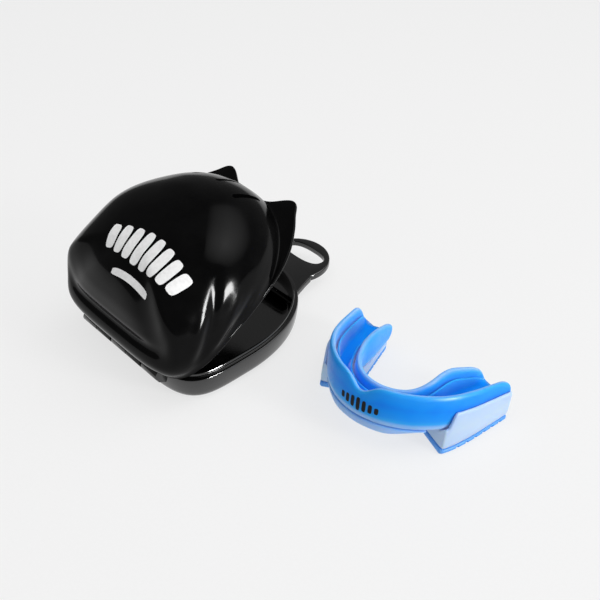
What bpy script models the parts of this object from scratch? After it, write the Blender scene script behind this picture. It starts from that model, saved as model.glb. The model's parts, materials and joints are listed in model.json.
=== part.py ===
"""Mouthguard with its carry case: a hinged clamshell, lid ajar, and the moulded guard beside it."""

import math

import bmesh
import bpy
from mathutils import Matrix, Vector

MM = 0.001
GAP = 0.3 * MM

# Case: origin at the middle of the base's flat bottom, hinge along X at the back (-Y).
CASE_WIDTH = 78 * MM
CASE_DEPTH = 78 * MM
PLAN_CENTER_Y = -8 * MM
BACK_POWER = 4.6
FRONT_POWER = 2.15
CROWN_POWER = 2.1
PLAN_POINTS = 72
BASE_HEIGHT = 11 * MM
LID_WALL = 2 * MM
LID_RIM_Z = BASE_HEIGHT + GAP
LID_REST_ANGLE = math.radians(29)
LID_STEP_HEIGHT = 2.1 * MM
LID_STEP_INSET = 1.2 * MM

# Hinge: five barrels on one pin, just behind the back wall.
HINGE_Y = -CASE_DEPTH / 2 - 1.4 * MM
HINGE_Z = BASE_HEIGHT
BARREL_RADIUS = 2.0 * MM
BARREL_CLEARANCE = 0.5 * MM
PIN_RADIUS = 0.9 * MM
PIN_LENGTH = 48 * MM
HINGE_SPAN = 50 * MM
BARREL_COUNT = 5

# Brim round the lid's front, with a thumb scallop between two ears.
BRIM_THICKNESS = 1.6 * MM
BRIM_OUTLINE = (
    (0, 37.6), (5, 38), (10, 39.6), (14.5, 42.6), (17, 44), (19.2, 44.4), (21.4, 43.2),
    (24, 39.8), (28.5, 34.5), (33.5, 26.5), (36.8, 17), (38.4, 5), (38.7, -8),
)
SLOT_SPACING = 12 * MM
SLOT_WIDTH = 2.4 * MM

# Carry loop on the front of the base.
LOOP_Y = 50.5 * MM
LOOP_RADIUS = 15.5 * MM
LOOP_HOLE_WIDTH = 21 * MM
LOOP_HOLE_LENGTH = 9.4 * MM
LOOP_HOLE_Y = 56.8 * MM
LOOP_THICKNESS = 2.8 * MM
LOOP_Z = 7 * MM

# Guard: arch in its own frame, then pitched front-up on its wedge soles and set beside the case.
ARCH_HALF_WIDTH = 22.8 * MM
ARCH_FRONT_DEPTH = 25.5 * MM
ARCH_BEND = math.radians(76)
LEG_LENGTH = 25 * MM
GUARD_PITCH = math.radians(10)
GUARD_YAW = math.radians(7)
GUARD_PLACE = (86 * MM, 27 * MM)
SOLE_FLOOR = -2.9 * MM
SOLE_THICKNESS = 1.9 * MM
SHELL_BOTTOM = 4.0 * MM
GROOVE_COUNT = 6
GROOVE_WIDTH = 1.2 * MM
GROOVE_DEPTH = 1.0 * MM

# Lid profiles, rim to crown: height above the rim in mm, and share of the plan's reach.
LID_BACK = ((0, 0.99), (2.5, 1.04), (5.5, 1.07), (8.8, 1.055), (11.4, 0.99), (13.2, 0.915),
            (17.6, 0.825), (23, 0.7), (28.6, 0.5), (32.2, 0.21))
LID_SIDE = ((0, 0.995), (3.5, 1.02), (7.5, 1.015), (12, 1), (17, 0.965), (22, 0.895), (26.4, 0.79),
            (29.9, 0.645), (32, 0.43), (32.6, 0.2))
LID_FRONT = ((0, 0.995), (3, 0.992), (6.5, 0.975), (11, 0.945), (16, 0.89), (21, 0.81), (25.6, 0.705),
             (29.4, 0.57), (31.8, 0.38), (32.6, 0.2))
# Base profile, outer bottom over the rim to the inner floor: inset and height, in mm.
BASE_PROFILE = ((12, 0), (4.6, 0), (2.4, 0.8), (0.9, 3), (0.2, 6.5), (0, 11), (1.5, 11),
                (1.5, 12.6), (2.3, 12.6), (2.6, 6.5), (3.4, 3.6), (5.4, 2.2), (12, 2))

MATERIALS = {
    "black_gloss": ((0.004, 0.004, 0.0045, 1), 0.12, 0.0),
    "pin_steel": ((0.45, 0.45, 0.46, 1), 0.3, 1.0),
    "guard_blue": ((0.0, 0.19, 0.85, 1), 0.3, 0.0),
    "guard_gel": ((0.10, 0.38, 0.90, 1), 0.35, 0.0),
    "guard_pale": ((0.50, 0.66, 0.92, 1), 0.35, 0.0),
}


def clear_scene():
    for obj in list(bpy.data.objects):
        bpy.data.objects.remove(obj, do_unlink=True)


def make_collection(name):
    collection = bpy.data.collections.new(name)
    bpy.context.scene.collection.children.link(collection)
    return collection


def make_materials():
    made = {}
    for name, (color, roughness, metallic) in MATERIALS.items():
        material = bpy.data.materials.new(name)
        material.use_nodes = True
        shader = material.node_tree.nodes["Principled BSDF"]
        shader.inputs["Base Color"].default_value = color
        shader.inputs["Roughness"].default_value = roughness
        shader.inputs["Metallic"].default_value = metallic
        made[name] = material
    return made


def add_object(name, mesh, collection, material=None, parent=None):
    obj = bpy.data.objects.new(name, mesh)
    collection.objects.link(obj)
    if material:
        mesh.materials.append(material)
        mesh.shade_smooth()
        mesh.set_sharp_from_angle(angle=math.radians(35))
    obj.parent = parent
    return obj


def add_cutter(name, mesh, parent=None):
    obj = add_object(name, mesh, CUTTERS, parent=parent)
    obj.hide_render = True
    obj.display_type = "WIRE"
    return obj


def boolean(obj, other, operation):
    modifier = obj.modifiers.new(other.name, "BOOLEAN")
    modifier.operation = operation
    modifier.object = other


def loft(name, rings):
    """Closed mesh through rings of equal point counts, with a flat cap on the first and last."""
    mesh = bpy.data.meshes.new(name)
    shape = bmesh.new()
    loops = [[shape.verts.new(point) for point in ring] for ring in rings]
    count = len(loops[0])
    for lower, upper in zip(loops, loops[1:]):
        for index in range(count):
            after = (index + 1) % count
            shape.faces.new((lower[index], lower[after], upper[after], upper[index]))
    shape.faces.new(loops[0][::-1])
    shape.faces.new(loops[-1])
    bmesh.ops.recalc_face_normals(shape, faces=shape.faces)
    shape.to_mesh(mesh)
    shape.free()
    return mesh


def box_mesh(name, low, high):
    mesh = bpy.data.meshes.new(name)
    shape = bmesh.new()
    bmesh.ops.create_cube(shape, size=1)
    low, high = Vector(low), Vector(high)
    size = high - low
    place = Matrix.Translation((low + high) / 2) @ Matrix.Diagonal((*size, 1))
    bmesh.ops.transform(shape, matrix=place, verts=shape.verts)
    shape.to_mesh(mesh)
    shape.free()
    return mesh


def rod_mesh(name, radius, start, end, sides=24):
    """Cylinder along X from start to end."""
    mesh = bpy.data.meshes.new(name)
    shape = bmesh.new()
    bmesh.ops.create_cone(shape, cap_ends=True, segments=sides, radius1=radius, radius2=radius,
                          depth=end - start)
    turn = Matrix.Translation(((start + end) / 2, 0, 0)) @ Matrix.Rotation(math.pi / 2, 4, "Y")
    bmesh.ops.transform(shape, matrix=turn, verts=shape.verts)
    shape.to_mesh(mesh)
    shape.free()
    return mesh


def prism_mesh(name, outline, start, end):
    """Prism along X of a (y, z) outline."""
    return loft(name, [[(x, y, z) for y, z in outline] for x in (start, end)])


def plate_mesh(name, outline, low, high):
    """Flat plate of the given outline between two heights."""
    rings = [[(x, y, z) for x, y in outline] for z in (low, high)]
    return loft(name, rings)


def signed_power(value, power):
    return math.copysign(abs(value) ** power, value)


def smooth(value, low, high):
    t = min(max((value - low) / (high - low), 0), 1)
    return t * t * (3 - 2 * t)


def plan_point(angle, inset, soften=0.0):
    """Point of the case's plan: square shoulders at the hinge and a long round front, or softer."""
    front = math.sin(angle) >= 0
    sharp = FRONT_POWER if front else BACK_POWER
    power = 2 / (sharp + (CROWN_POWER - sharp) * soften)
    reach = CASE_DEPTH / 2 + (-PLAN_CENTER_Y if front else PLAN_CENTER_Y) - inset
    x = (CASE_WIDTH / 2 - inset) * signed_power(math.cos(angle), power)
    return x, PLAN_CENTER_Y + reach * signed_power(math.sin(angle), power)


def plan_angles():
    return [math.tau * step / PLAN_POINTS for step in range(PLAN_POINTS)]


def plan_ring(inset, z):
    return [(*plan_point(angle, inset), z) for angle in plan_angles()]


def lid_ring(level, wall=0.0, lower=0.0):
    """Ring of the lid's skin at one level of its three profiles, rounder towards the crown."""
    ring = []
    soften = smooth(level / (len(LID_SIDE) - 1), 0.6, 1)
    for angle in plan_angles():
        front = smooth(math.sin(angle), 0.15, 0.85)
        back = smooth(-math.sin(angle), 0.35, 0.9)
        side = 1 - front - back
        height, share = (
            front * LID_FRONT[level][part] + back * LID_BACK[level][part] + side * LID_SIDE[level][part]
            for part in (0, 1)
        )
        x, y = plan_point(angle, 0, soften)
        y -= PLAN_CENTER_Y
        share -= wall / math.hypot(x, y)
        ring.append((x * share, PLAN_CENTER_Y + y * share, LID_RIM_Z + height * MM - lower))
    return ring


def hollow_rings():
    """Inside of the lid: a step for the base's lip, then the skin less the wall."""
    rings = [
        plan_ring(LID_STEP_INSET, LID_RIM_Z - 4 * MM),
        plan_ring(LID_STEP_INSET, LID_RIM_Z + LID_STEP_HEIGHT),
        plan_ring(LID_WALL + 0.3 * MM, LID_RIM_Z + LID_STEP_HEIGHT + 0.1 * MM),
    ]
    last = len(LID_SIDE) - 1
    for level in range(1, last + 1):
        rise = smooth(level / last, 0.2, 0.75)
        rings.append(lid_ring(level, LID_WALL * (1 - 0.65 * rise), LID_WALL * rise))
    return rings


def build_base(parts, materials):
    rings = [plan_ring(inset * MM, height * MM) for inset, height in BASE_PROFILE]
    base = add_object("base_shell", loft("base_shell", rings), parts, materials["black_gloss"])
    add_loop(base)
    add_barrels(base, owner=0, parent=None)
    return base


def add_loop(base):
    """Flat eyelet on the front wall, with flared shoulders and an oval hole."""
    outer = []
    for step in range(25):
        angle = math.radians(-16 + 212 * step / 24)
        outer.append((LOOP_RADIUS * math.cos(angle), LOOP_Y + LOOP_RADIUS * math.sin(angle)))
    shoulder = ((16 * MM, 42 * MM), (18 * MM, 37.5 * MM), (21.5 * MM, 33.5 * MM), (21.5 * MM, 28 * MM))
    outer += [(-x, y) for x, y in shoulder]
    outer += reversed(shoulder)
    low, high = LOOP_Z - LOOP_THICKNESS / 2, LOOP_Z + LOOP_THICKNESS / 2
    tab = add_cutter("loop_tab", plate_mesh("loop_tab", outer, low, high))
    inside = [plan_ring(1.2 * MM, 1.0 * MM), plan_ring(1.2 * MM, BASE_HEIGHT)]
    boolean(tab, add_cutter("loop_trim", loft("loop_trim", inside)), "DIFFERENCE")
    boolean(base, tab, "UNION")
    hole = []
    for step in range(32):
        angle = math.tau * step / 32
        hole.append((LOOP_HOLE_WIDTH / 2 * signed_power(math.cos(angle), 0.8),
                     LOOP_HOLE_Y + LOOP_HOLE_LENGTH / 2 * signed_power(math.sin(angle), 0.8)))
    cut = add_cutter("loop_hole", plate_mesh("loop_hole", hole, low - 2 * MM, high + 2 * MM))
    boolean(base, cut, "DIFFERENCE")


def barrel_spans():
    """Start and end of each hinge barrel along X."""
    length = HINGE_SPAN / BARREL_COUNT
    for index in range(BARREL_COUNT):
        start = -HINGE_SPAN / 2 + index * length
        yield index, start + GAP, start + length - GAP


def add_barrels(shell, owner, parent):
    """Barrels of one shell: owner 0 takes the even ones, owner 1 the odd ones."""
    side = "base" if owner == 0 else "lid"
    for index, start, end in barrel_spans():
        name = f"{side}_barrel_{index}"
        if index % 2 == owner:
            add_hinge_tool(shell, rod_mesh(name, BARREL_RADIUS, start, end), "UNION", parent)
            web = prism_mesh(name + "_web", barrel_web(owner), start, end)
            add_hinge_tool(shell, web, "UNION", parent)
        else:
            relief = rod_mesh(f"{side}_relief_{index}", BARREL_RADIUS + BARREL_CLEARANCE,
                              start - 2 * GAP, end + 2 * GAP)
            add_hinge_tool(shell, relief, "DIFFERENCE", parent)
    reach = PIN_LENGTH / 2 + GAP
    add_hinge_tool(shell, rod_mesh(f"{side}_bore", PIN_RADIUS + GAP, -reach, reach), "DIFFERENCE", parent)


def barrel_web(owner):
    """Section (y, z) of the web that ties a barrel to its shell: below it, or above it on the lid."""
    side = -1 if owner == 0 else 1
    radius = BARREL_RADIUS
    return ((-0.9 * radius, side * 0.4 * radius), (-0.3 * radius, side * 1.4 * radius),
            (2.6 * MM, side * 2.3 * radius), (2.6 * MM, side * GAP), (0, 0))


def add_hinge_tool(shell, mesh, operation, parent):
    """Boolean tool modelled on the hinge's own axis."""
    tool = add_cutter(mesh.name, mesh, parent)
    if parent is None:
        tool.location = (0, HINGE_Y, HINGE_Z)
    boolean(shell, tool, operation)


def build_lid(parts, materials, axis):
    """Lid modelled closed in world place, then carried by the hinge axis."""
    to_axis = Matrix.Translation((0, -HINGE_Y, -HINGE_Z))
    skin = loft("lid_shell", [lid_ring(level) for level in range(len(LID_SIDE))])
    skin.transform(to_axis)
    lid = add_object("lid_shell", skin, parts, materials["black_gloss"], axis)
    brim = plate_mesh("lid_brim", brim_outline(), LID_RIM_Z, LID_RIM_Z + BRIM_THICKNESS)
    hollow = loft("lid_hollow", hollow_rings())
    for mesh, operation in ((brim, "UNION"), (hollow, "DIFFERENCE")):
        mesh.transform(to_axis)
        boolean(lid, add_cutter(mesh.name, mesh, axis), operation)
    for index in (-1, 0, 1):
        boolean(lid, add_slot(index, axis, to_axis), "DIFFERENCE")
    add_barrels(lid, owner=1, parent=axis)
    return lid


def brim_outline():
    right = [(x * MM, y * MM) for x, y in BRIM_OUTLINE]
    left = [(-x, y) for x, y in reversed(right[1:])]
    return left + right


def add_slot(index, axis, to_axis):
    """Vent slot through the steep front of the lid."""
    name = f"vent_slot_{index + 1}"
    middle = index * SLOT_SPACING
    start = 29 * MM - abs(index) * 2.5 * MM
    mesh = box_mesh(name, (middle - SLOT_WIDTH / 2, start, BASE_HEIGHT + 7 * MM),
                    (middle + SLOT_WIDTH / 2, 50 * MM, BASE_HEIGHT + 21 * MM))
    mesh.transform(to_axis)
    return add_cutter(name, mesh, axis)


def build_pin(parts, materials):
    pin = rod_mesh("hinge_pin", PIN_RADIUS, -PIN_LENGTH / 2, PIN_LENGTH / 2)
    obj = add_object("hinge_pin", pin, parts, materials["pin_steel"])
    obj.location = (0, HINGE_Y, HINGE_Z)


def arch(share):
    """Point, outward normal and share of the arch's centre line; share runs -1 to 1, rear to rear."""
    bend_length = ARCH_BEND * (ARCH_HALF_WIDTH + ARCH_FRONT_DEPTH) / 2
    along = abs(share) * (bend_length + LEG_LENGTH)
    angle = min(along / bend_length, 1) * ARCH_BEND
    x, y = ARCH_HALF_WIDTH * math.sin(angle), -ARCH_FRONT_DEPTH * math.cos(angle)
    tangent = Vector((ARCH_HALF_WIDTH * math.cos(angle), ARCH_FRONT_DEPTH * math.sin(angle))).normalized()
    rest = max(along - bend_length, 0)
    x, y = x + tangent.x * rest, y + tangent.y * rest
    normal = Vector((tangent.y, -tangent.x))
    if share < 0:
        x, normal.x = -x, -normal.x
    return Vector((x, y)), normal


def sweep(name, section, start, end, stations):
    """Closed tube along the arch; section(share) gives (outward, height) points."""
    rings = []
    for step in range(stations):
        share = start + (end - start) * step / (stations - 1)
        center, normal = arch(share)
        rings.append([
            (center.x + normal.x * out, center.y + normal.y * out, height)
            for out, height in section(share)
        ])
    return loft(name, rings)


def buccal_height(share):
    """Top of the outer wall, with the notch for the lip's frenum at the front."""
    notch = 4.5 * math.exp(-((share / 0.07) ** 2))
    return (19.5 - 3.0 * abs(share) ** 1.5 - notch) * MM


def lingual_height(share):
    lobe = 5.0 * math.exp(-(((abs(share) - 0.62) / 0.24) ** 2))
    return (13.5 + lobe) * MM


def half_width(share):
    """Half the channel's width over the walls: slim at the front, wide at the molars."""
    return (5.4 + 2.0 * smooth(abs(share), 0.25, 0.7)) * MM


def shell_section(share):
    """Channel section: outer wall, bite plate and inner wall, open on top."""
    half = half_width(share)
    wall = 1.9 * MM
    top_out, top_in = buccal_height(share), lingual_height(share)
    floor = SHELL_BOTTOM + 3 * MM
    return (
        (half - 1.0 * MM, SHELL_BOTTOM), (half, SHELL_BOTTOM + 1.4 * MM), (half + 0.6 * MM, top_out - 2 * MM),
        (half + 0.2 * MM, top_out), (half - wall + 0.6 * MM, top_out), (half - wall, top_out - 1.6 * MM),
        (half - wall - 0.4 * MM, floor), (-half + wall + 0.4 * MM, floor), (-half + wall, top_in - 1.6 * MM),
        (-half + wall - 0.6 * MM, top_in), (-half - 0.2 * MM, top_in), (-half - 0.4 * MM, top_in - 2 * MM),
        (-half, SHELL_BOTTOM + 1.4 * MM), (-half + 1.0 * MM, SHELL_BOTTOM),
    )


def liner_section(share):
    """Thin gel skin inside the channel."""
    half = half_width(share) - 1.9 * MM - 2 * GAP
    skin = 1.0 * MM
    low = SHELL_BOTTOM + 3 * MM + GAP
    top_out, top_in = buccal_height(share) - 3 * MM, lingual_height(share) - 3 * MM
    return (
        (half - 0.4 * MM, low), (half - 0.1 * MM, top_out), (half - skin, top_out),
        (half - skin - 0.4 * MM, low + skin), (-half + skin + 0.4 * MM, low + skin),
        (-half + skin, top_in), (-half + 0.1 * MM, top_in), (-half + 0.4 * MM, low),
    )


def sole_bottom(y):
    """Floor plane in the guard's own frame."""
    return y * math.tan(GUARD_PITCH) + SOLE_FLOOR


def side_depth(share, out):
    """Front-to-rear place of a point that lies out from the arch's centre line."""
    center, normal = arch(share)
    return center.y + normal.y * out


def pad_section(share):
    """Wedge pad: a block under the bite plate that wraps up the outer wall as a cheek panel."""
    half = half_width(share)
    wrap = half + 0.6 * MM + GAP
    outer = wrap + 1.1 * MM
    under = SHELL_BOTTOM - GAP
    high = under + (1.5 + 6.8 * smooth(abs(share), 0.47, 0.52)) * MM
    rise = SOLE_THICKNESS + GAP
    low_out = sole_bottom(side_depth(share, outer)) + rise
    low_in = sole_bottom(side_depth(share, -half)) + rise
    return (
        (wrap, high), (outer - 0.5 * MM, high), (outer, high - 0.6 * MM), (outer, low_out),
        (-half + 0.6 * MM, low_in), (-half + 0.8 * MM, under), (wrap, under),
    )


def sole_section(share):
    """Tread layer under the wedge pad, its bottom on the floor plane."""
    half = half_width(share)
    outer = half + 1.7 * MM + GAP
    inner = -half + 0.6 * MM
    low_out, low_in = (sole_bottom(side_depth(share, out)) for out in (outer, inner))
    return (
        (outer, low_out + SOLE_THICKNESS), (inner, low_in + SOLE_THICKNESS),
        (inner, low_in + 0.5 * MM), (inner + 0.6 * MM, low_in),
        (outer - 0.6 * MM, low_out), (outer, low_out + 0.5 * MM),
    )


def bumper_section(share):
    """Front pad under the arch, thinning to its ends."""
    half = half_width(share) - 0.4 * MM
    top = SHELL_BOTTOM - GAP
    drop = (1.2 + 2.8 * (1 - smooth(abs(share), 0.14, 0.36))) * MM
    return (
        (half, top), (-half, top), (-half + 0.4 * MM, top - drop * 0.7),
        (-half + 1.6 * MM, top - drop), (half - 1.2 * MM, top - drop), (half, top - drop * 0.6),
    )


def guard_axis():
    """Empty that pitches the guard onto its soles, yaws it and puts it beside the case."""
    empty = bpy.data.objects.new("guard_axis", None)
    PARTS.objects.link(empty)
    turn = Matrix.Rotation(GUARD_YAW, 4, "Z") @ Matrix.Rotation(-GUARD_PITCH, 4, "X")
    lift = -SOLE_FLOOR * math.cos(GUARD_PITCH)
    empty.matrix_world = Matrix.Translation((*GUARD_PLACE, lift)) @ turn
    return empty


def build_guard(parts, materials, axis):
    pieces = (
        ("guard_shell", shell_section, -1, 1, 45, "guard_blue"),
        ("gel_liner", liner_section, -0.97, 0.97, 41, "guard_gel"),
        ("front_pad", bumper_section, -0.38, 0.38, 17, "guard_gel"),
        ("left_wedge_pad", pad_section, -0.975, -0.46, 15, "guard_pale"),
        ("right_wedge_pad", pad_section, 0.46, 0.975, 15, "guard_pale"),
        ("left_sole", sole_section, -0.975, -0.46, 9, "guard_blue"),
        ("right_sole", sole_section, 0.46, 0.975, 9, "guard_blue"),
    )
    for name, section, start, end, stations, material in pieces:
        mesh = sweep(name, section, start, end, stations)
        obj = add_object(name, mesh, parts, materials[material], axis)
        if name.endswith("sole"):
            cut_grooves(obj, axis, -1 if name.startswith("left") else 1)


def cut_grooves(sole, axis, side):
    """Crosswise tread grooves in the bottom of one sole."""
    for index in range(GROOVE_COUNT):
        share = side * (0.55 + 0.36 * index / (GROOVE_COUNT - 1))
        center, normal = arch(share)
        name = f"{sole.name}_groove_{index}"
        mesh = box_mesh(name, (-12 * MM, -GROOVE_WIDTH / 2, -4 * MM), (12 * MM, GROOVE_WIDTH / 2, GROOVE_DEPTH))
        low = sole_bottom(center.y)
        turn = Matrix.Rotation(math.atan2(normal.y, normal.x), 4, "Z")
        tilt = Matrix.Rotation(GUARD_PITCH, 4, "X")
        mesh.transform(Matrix.Translation((center.x, center.y, low)) @ tilt @ turn)
        boolean(sole, add_cutter(name, mesh, axis), "DIFFERENCE")


def hinge_axis():
    empty = bpy.data.objects.new("lid_hinge_axis", None)
    PARTS.objects.link(empty)
    empty.location = (0, HINGE_Y, HINGE_Z)
    empty.rotation_euler = (LID_REST_ANGLE, 0, 0)
    return empty


clear_scene()
PARTS = make_collection("mouthguard_with_case")
CUTTERS = make_collection("cutters")
surface = make_materials()
build_base(PARTS, surface)
build_lid(PARTS, surface, hinge_axis())
build_pin(PARTS, surface)
build_guard(PARTS, surface, guard_axis())
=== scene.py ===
"""Looks of the mouthguard with its carry case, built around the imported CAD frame."""

import json
import math

import bmesh
import bpy
import numpy as np
from mathutils import Matrix, Vector
from mathutils.bvhtree import BVHTree


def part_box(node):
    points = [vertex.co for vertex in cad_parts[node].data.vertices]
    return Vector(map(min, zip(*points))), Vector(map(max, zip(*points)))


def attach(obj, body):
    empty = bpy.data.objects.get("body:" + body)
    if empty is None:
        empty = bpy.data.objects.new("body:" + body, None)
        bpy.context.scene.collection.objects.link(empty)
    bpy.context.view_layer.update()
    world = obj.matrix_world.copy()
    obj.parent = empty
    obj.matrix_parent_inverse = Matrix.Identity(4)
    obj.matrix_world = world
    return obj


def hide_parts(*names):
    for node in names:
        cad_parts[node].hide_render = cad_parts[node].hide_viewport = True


MM = 0.001

# Plan of the case, shared by the base and the lid.
PLAN_CENTER_Y = -8 * MM
WALL_BACK_Y, WALL_FRONT_Y = -39 * MM, 39 * MM
BACK_POWER, FRONT_POWER, CROWN_POWER = 4.6, 2.15, 2.1
PLAN_POINTS = 288

# Lid: skin modelled closed, then opened about the hinge.
LID_REST_ANGLE = math.radians(29)
LID_WALL = 2.0 * MM
LID_STEP_INSET = 1.2 * MM
LID_STEP_HEIGHT = 2.1 * MM
RIM_GAP = 0.3 * MM
BRIM_THICKNESS = 1.5 * MM
BRIM_ROUNDING = 0.5 * MM
BRIM_BLEND = 0.25 * MM
SKIN_STEPS = 9
RELIEF_SAMPLES = 41

SLOT_LENGTH, SLOT_WIDTH = 15 * MM, 2.1 * MM
SLOT_PITCH = 12 * MM
SLOT_Y, SLOT_SETBACK = 33 * MM, 2.2 * MM
SLOT_HEIGHT = 15 * MM
SLOT_TILT = math.radians(-59)

# Profiles from rim to crown: height above the rim in mm, and share of the plan's reach.
LID_BACK = ((0, 0.99), (2.5, 1.04), (5.5, 1.07), (8.8, 1.055), (11.4, 0.99), (13.2, 0.915),
            (17.6, 0.825), (23, 0.7), (28.6, 0.5), (32.2, 0.21), (32.7, 0))
LID_SIDE = ((0, 0.995), (3.5, 1.02), (7.5, 1.015), (12, 1), (17, 0.965), (22, 0.895), (26.4, 0.79),
            (29.9, 0.645), (32, 0.43), (32.6, 0.2), (32.7, 0))
LID_FRONT = ((0, 0.995), (3, 0.992), (6.5, 0.975), (11, 0.945), (16, 0.89), (21, 0.81), (25.6, 0.705),
             (29.4, 0.57), (31.8, 0.38), (32.6, 0.2), (32.7, 0))
# Brim's right half in mm: thumb scallop, ear, then the run back along the side.
BRIM_OUTLINE = (
    (0, 37.6), (5, 38), (10, 39.6), (14.5, 42.6), (17, 44), (19.2, 44.4), (21.4, 43.2),
    (24, 39.8), (28.5, 34.5), (33.5, 26.5), (36.8, 17), (38.4, 5), (38.7, -8),
)
# Base profile: inset and height in mm, outside bottom over the rim to the inner floor.
BASE_OUTSIDE = ((12, 0), (7, 0), (4.6, 0.05), (3.3, 0.35), (2.2, 1.0), (0.95, 3), (0.25, 6.5), (0, 9.2),
                (0, 10.6))
BASE_RIM = ((0.12, 10.88), (0.4, 11), (1.35, 11), (1.5, 11.15), (1.5, 12.35), (1.62, 12.56), (1.9, 12.6),
            (2.18, 12.56), (2.3, 12.35))
BASE_INSIDE = ((2.45, 9.5), (2.6, 6.5), (3.1, 4.2), (4.0, 2.9), (5.4, 2.25), (7.5, 2.02), (12, 2))

BARREL_COUNT = 5
HINGE_SPAN = 50 * MM
BARREL_RADIUS = 2.0 * MM
BARREL_GAP = 0.3 * MM
BARREL_CLEARANCE = 0.5 * MM
WEB_REACH = 2.6 * MM
PIN_BORE = 1.15 * MM
PIN_BORE_HALF_LENGTH = 24.3 * MM

LOOP_Y = 50.5 * MM
LOOP_RADIUS = 15.5 * MM
LOOP_HOLE = (21 * MM, 9.4 * MM)
LOOP_HOLE_Y = 56.8 * MM
LOOP_THICKNESS = 2.8 * MM
LOOP_Z = 7 * MM

# Guard: arch in its own frame, pitched front-up and set beside the case.
ARCH_HALF_WIDTH = 22.8 * MM
ARCH_FRONT_DEPTH = 25.5 * MM
ARCH_BEND = math.radians(76)
LEG_LENGTH = 25 * MM
GUARD_PITCH = math.radians(10)
GUARD_YAW = math.radians(7)
GUARD_PLACE = (86 * MM, 27 * MM)
SOLE_FLOOR = -2.9 * MM
SOLE_THICKNESS = 1.9 * MM
SHELL_BOTTOM = 4.0 * MM
SEAT_GAP = 0.3 * MM
SHELL_WALL = 1.9 * MM
PLATE_THICKNESS = 3 * MM
LINER_SKIN = 1.0 * MM
LINER_DROP = 3 * MM
PAD_WRAP_GAP = 0.75 * MM
PAD_WRAP_THICKNESS = 1.15 * MM
GROOVE_COUNT = 6
GROOVE_FIRST, GROOVE_SPREAD = 0.55, 0.36
GROOVE_HALF_LENGTH, GROOVE_HALF_WIDTH = 12 * MM, 0.6 * MM
GROOVE_DEPTH = 1.0 * MM
# Turns, in degrees, at which a sweep's rounded end gets a ring.
END_TURNS = (8, 28, 50, 72)


# ---------------------------------------------------------------- meshes

def add_piece(name, mesh, matrix=None):
    obj = bpy.data.objects.new(name, mesh)
    bpy.context.scene.collection.objects.link(obj)
    if matrix is not None:
        obj.matrix_world = matrix
    return obj


def smooth_shading(mesh, angle=40):
    mesh.shade_smooth()
    mesh.set_sharp_from_angle(angle=math.radians(angle))


def loft(name, rings, tones=None):
    """Closed mesh through rings of equal point counts, with caps; tones go to a point attribute."""
    rings = np.asarray(rings, float)
    levels, count = rings.shape[:2]
    faces = []
    for level in range(levels - 1):
        low, high = level * count, (level + 1) * count
        for index in range(count):
            after = (index + 1) % count
            faces.append((low + index, low + after, high + after, high + index))
    faces.append(tuple(range(count))[::-1])
    faces.append(tuple(range((levels - 1) * count, levels * count)))
    mesh = bpy.data.meshes.new(name)
    mesh.from_pydata(rings.reshape(-1, 3).tolist(), [], faces)
    outward(mesh)
    if tones is not None:
        attribute = mesh.attributes.new("tone", "FLOAT", "POINT")
        attribute.data.foreach_set("value", np.asarray(tones, np.float32).reshape(-1))
    return mesh


def outward(mesh):
    shape = bmesh.new()
    shape.from_mesh(mesh)
    bmesh.ops.recalc_face_normals(shape, faces=shape.faces)
    shape.to_mesh(mesh)
    shape.free()


def plate(name, outlines, low, high, rounding=0.5 * MM, matrix=None):
    """Flat plate with rounded edges: the first outline is its edge, the others are holes."""
    shape = bmesh.new()
    turns = [0, 30, 60, 90]
    profile = [(rounding * (1 - math.sin(math.radians(t))), low + rounding * (1 - math.cos(math.radians(t))))
               for t in turns]
    profile += [(inset, low + high - z) for inset, z in reversed(profile)]
    rims = ([], [])
    for number, outline in enumerate(outlines):
        points = np.asarray(outline, float)
        tangent = np.roll(points, -1, 0) - np.roll(points, 1, 0)
        tangent /= np.linalg.norm(tangent, axis=1, keepdims=True)
        inward = np.stack([-tangent[:, 1], tangent[:, 0]], 1) * (1 if number == 0 else -1)
        loops = [[shape.verts.new((*(p + n * inset), z)) for p, n in zip(points, inward)]
                 for inset, z in profile]
        count = len(points)
        for lower, upper in zip(loops, loops[1:]):
            for index in range(count):
                after = (index + 1) % count
                shape.faces.new((lower[index], lower[after], upper[after], upper[index]))
        for rim, loop in zip(rims, (loops[0], loops[-1])):
            rim.extend(shape.edges.get((loop[i], loop[(i + 1) % count])) for i in range(count))
    for rim in rims:
        bmesh.ops.triangle_fill(shape, use_beauty=True, edges=rim)
    bmesh.ops.recalc_face_normals(shape, faces=shape.faces)
    mesh = bpy.data.meshes.new(name)
    shape.to_mesh(mesh)
    shape.free()
    if matrix is not None:
        mesh.transform(matrix)
    return mesh


def rounded_rod(name, radius, start, end, rounding=0.25 * MM, sides=48):
    """Rod along X with softened ends."""
    stations = [(start, radius - rounding), (start + 0.3 * rounding, radius - 0.3 * rounding),
                (start + rounding, radius), (end - rounding, radius),
                (end - 0.3 * rounding, radius - 0.3 * rounding), (end, radius - rounding)]
    angles = np.arange(sides) * math.tau / sides
    return loft(name, [[(x, r * math.cos(a), r * math.sin(a)) for a in angles] for x, r in stations])


def combine(obj, tools):
    """Applies Boolean tools, (mesh, operation), to the object's mesh."""
    helpers = []
    for mesh, operation in tools:
        helper = add_piece(mesh.name + "_tool", mesh, obj.matrix_world)
        modifier = obj.modifiers.new(helper.name, "BOOLEAN")
        modifier.operation = operation
        modifier.solver = "MANIFOLD"
        modifier.object = helper
        helpers.append(helper)
    bpy.context.view_layer.update()
    graph = bpy.context.evaluated_depsgraph_get()
    result = bpy.data.meshes.new_from_object(obj.evaluated_get(graph))
    result.name = obj.name
    obj.modifiers.clear()
    obj.data = result
    for helper in helpers:
        bpy.data.objects.remove(helper)


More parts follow.
